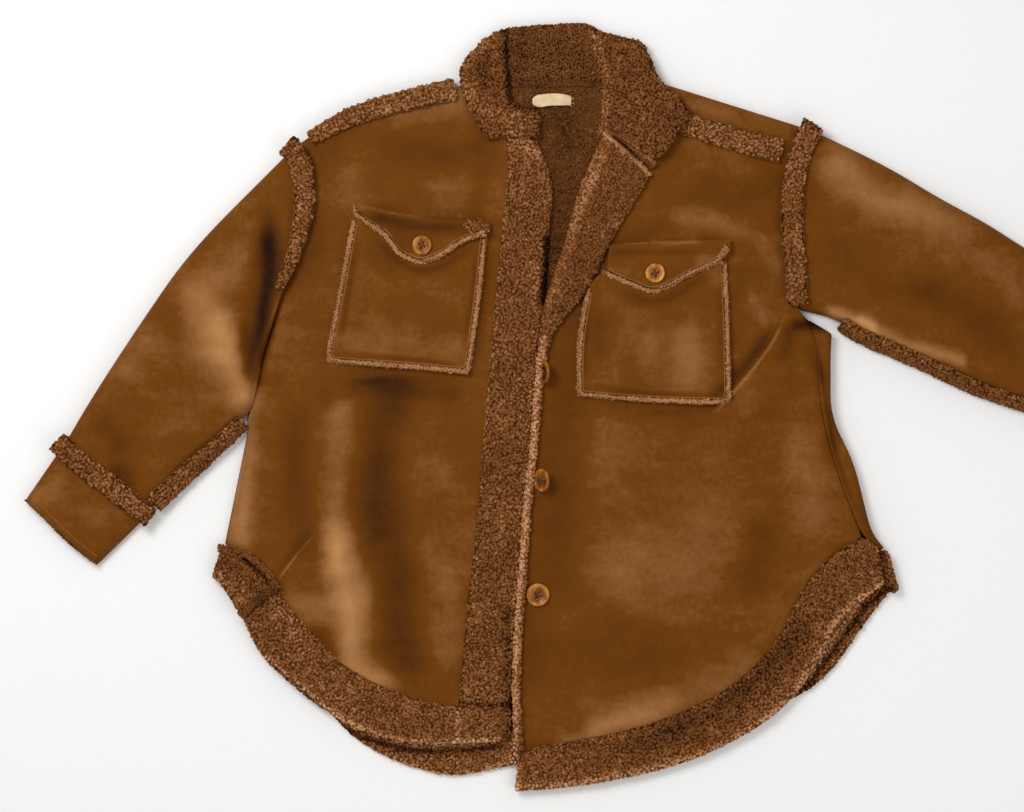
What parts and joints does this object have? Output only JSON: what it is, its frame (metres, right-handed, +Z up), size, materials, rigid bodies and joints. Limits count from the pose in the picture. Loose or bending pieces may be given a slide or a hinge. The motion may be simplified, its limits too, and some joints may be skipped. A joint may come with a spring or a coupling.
{
  "type": "shirt jacket",
  "caption": "Oversized shirt jacket in bonded faux shearling, laid flat on its back: suede outside, curly pile collar, lapel, bands and seam strips, flapped chest pockets.",
  "frame": {"origin": "on the surface that the garment lies on, at the middle of its bounding box", "axes": "+X to the wearer's left across both sleeves, +Y from the hem to the collar, +Z up from the surface"},
  "size_m": [1.233, 0.83, 0.0296],
  "materials": {
    "suede": "matt suede",
    "sherpa": "curly pile",
    "horn": "glossy",
    "cotton": "matt"
  },
  "bodies": {
    "root": {"armhole_trim_left": "sherpa", "armhole_trim_right": "sherpa", "back": "suede", "collar": "sherpa", "cuff_left": "suede", "cuff_right": "suede", "cuff_trim_left": "sherpa", "cuff_trim_right": "sherpa", "flap_left": "suede", "flap_right": "suede", "front_button_1": "horn", "front_button_2": "horn", "front_button_3": "horn", "front_left": "suede", "front_right": "suede", "hem_band_back": "sherpa", "hem_band_left": "sherpa", "hem_band_right": "sherpa", "neck_label": "cotton", "placket_right": "sherpa", "pocket_button_left": "horn", "pocket_button_right": "horn", "pocket_left": "suede", "pocket_right": "suede", "shoulder_trim_left": "sherpa", "shoulder_trim_right": "sherpa", "sleeve_left": "suede", "sleeve_right": "suede", "sleeve_trim_left": "sherpa", "sleeve_trim_right": "sherpa"}
  },
  "joints": []
}
